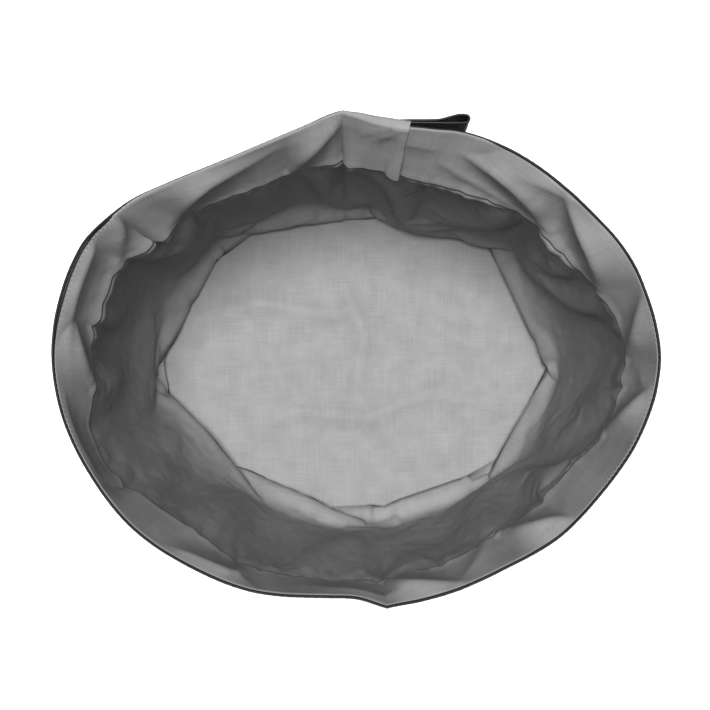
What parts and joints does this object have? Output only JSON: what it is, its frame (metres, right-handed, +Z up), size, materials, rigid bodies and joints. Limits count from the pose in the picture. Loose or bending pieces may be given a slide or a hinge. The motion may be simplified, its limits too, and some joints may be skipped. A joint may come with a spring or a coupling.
{
  "type": "laundry bag",
  "caption": "Free-standing fabric laundry bag with an oval base, a grey lining and facing round an open mouth, piped edges, and a webbing loop that swings out to hang it up.",
  "frame": {"origin": "centre of the bag's outer box, on the floor that the base stands on", "axes": "+Z up out of the open mouth, +X along the mouth's long side, +Y to the back, where the seam and the hang loop are"},
  "size_m": [0.4058, 0.3284, 0.48],
  "materials": {
    "shell": "black woven polyester, matt",
    "lining": "mid-grey fine woven lining with a light coating",
    "facing": "mid-grey coated woven facing, satin",
    "piping": "black edge binding round a thin cord",
    "webbing": "black ribbed polyester webbing with a slight sheen",
    "thread": "black sewing thread",
    "grey_thread": "grey sewing thread",
    "board": "dark plastic board"
  },
  "bodies": {
    "bag": {"shell_wall": "shell", "shell_base": "shell", "rim_piping": "piping", "base_piping": "piping", "lining_wall": "lining", "lining_base": "lining", "base_board": "board", "rim_facing": "facing", "facing_stitch_row_1": "grey_thread", "facing_stitch_row_2": "grey_thread", "hang_loop_root": "webbing", "loop_bartack_1": "thread", "loop_bartack_2": "thread"},
    "loop": {"hang_loop": "webbing"}
  },
  "joints": [
    {"name": "hang_loop_swing", "type": "hinge", "parent": "bag", "child": "loop", "pos_m": [0.01709, 0.15902, 0.4632], "axis": [0, 0, 1], "range_deg": [0, 150]}
  ]
}
